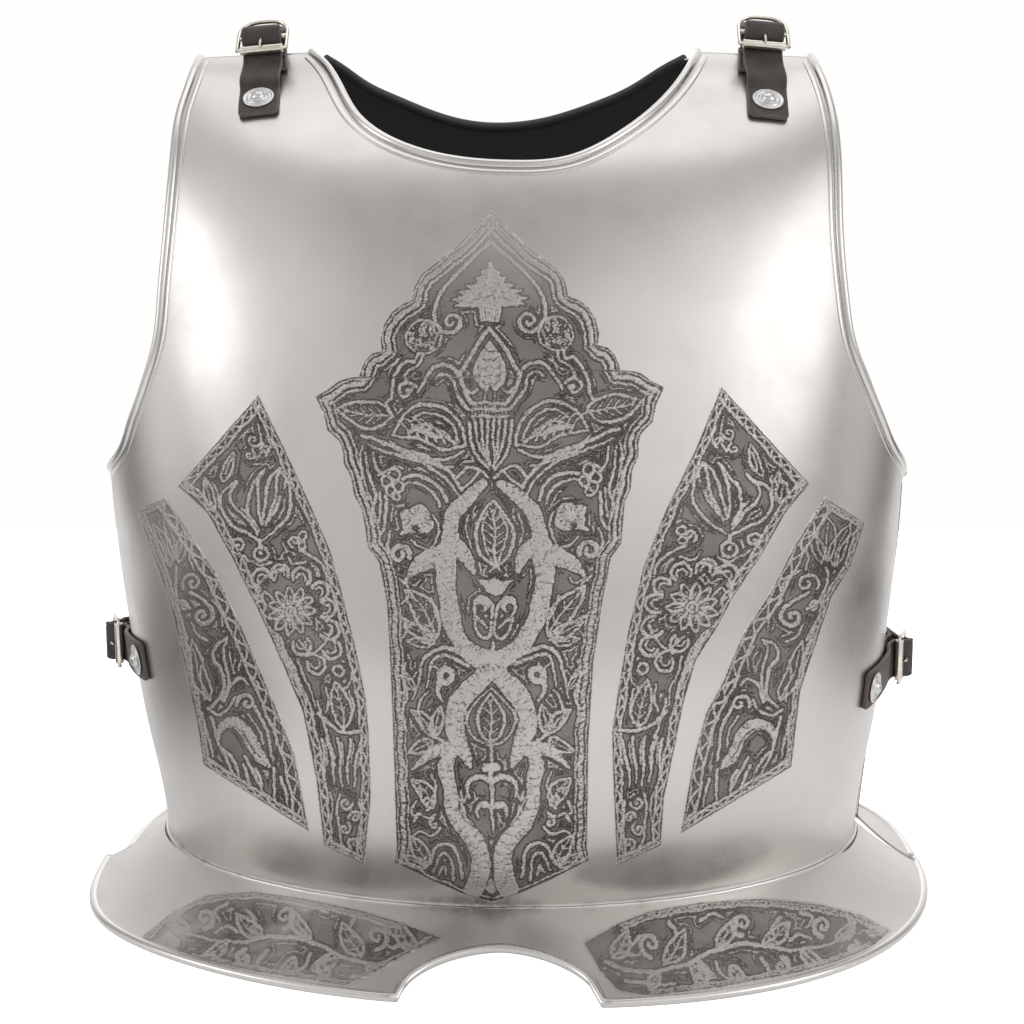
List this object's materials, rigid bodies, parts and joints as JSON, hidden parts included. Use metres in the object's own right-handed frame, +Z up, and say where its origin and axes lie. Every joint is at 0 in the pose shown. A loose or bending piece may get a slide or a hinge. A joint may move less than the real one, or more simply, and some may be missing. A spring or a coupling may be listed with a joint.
{
  "type": "cuirass breastplate with backplate",
  "caption": "Polished steel cuirass: breastplate with etched foliage panels and a flared waist flange, buckled to a plain backplate by riveted leather straps at shoulders and sides.",
  "frame": {"origin": "centre of the footprint, on the level the waist flanges stand on", "axes": "+Z up along the body, -Y towards the front of the chest, +X towards the wearer's left arm"},
  "size_m": [0.4378, 0.3588, 0.4449],
  "materials": {
    "plate_steel": "satin-polished, etched dark grey ground between the bright raised foliage, black paint inside",
    "strap_leather": "dark brown, smooth, matt edges",
    "buckle_nickel": "nickel plated, polished",
    "rivet_zinc": "zinc plated, dull bright"
  },
  "bodies": {
    "root": {"breastplate": "plate_steel", "backplate": "plate_steel", "shoulder_left_front_strap": "strap_leather", "shoulder_left_back_strap": "strap_leather", "shoulder_left_front_rivet": "rivet_zinc", "shoulder_left_back_rivet": "rivet_zinc", "shoulder_left_buckle": "buckle_nickel", "shoulder_left_roller": "buckle_nickel", "shoulder_left_prong": "buckle_nickel", "shoulder_right_front_strap": "strap_leather", "shoulder_right_back_strap": "strap_leather", "shoulder_right_front_rivet": "rivet_zinc", "shoulder_right_back_rivet": "rivet_zinc", "shoulder_right_buckle": "buckle_nickel", "shoulder_right_roller": "buckle_nickel", "shoulder_right_prong": "buckle_nickel", "side_left_front_strap": "strap_leather", "side_left_back_strap": "strap_leather", "side_left_front_rivet": "rivet_zinc", "side_left_back_rivet": "rivet_zinc", "side_left_buckle": "buckle_nickel", "side_left_roller": "buckle_nickel", "side_left_prong": "buckle_nickel", "side_right_front_strap": "strap_leather", "side_right_back_strap": "strap_leather", "side_right_front_rivet": "rivet_zinc", "side_right_back_rivet": "rivet_zinc", "side_right_buckle": "buckle_nickel", "side_right_roller": "buckle_nickel", "side_right_prong": "buckle_nickel"}
  },
  "joints": []
}
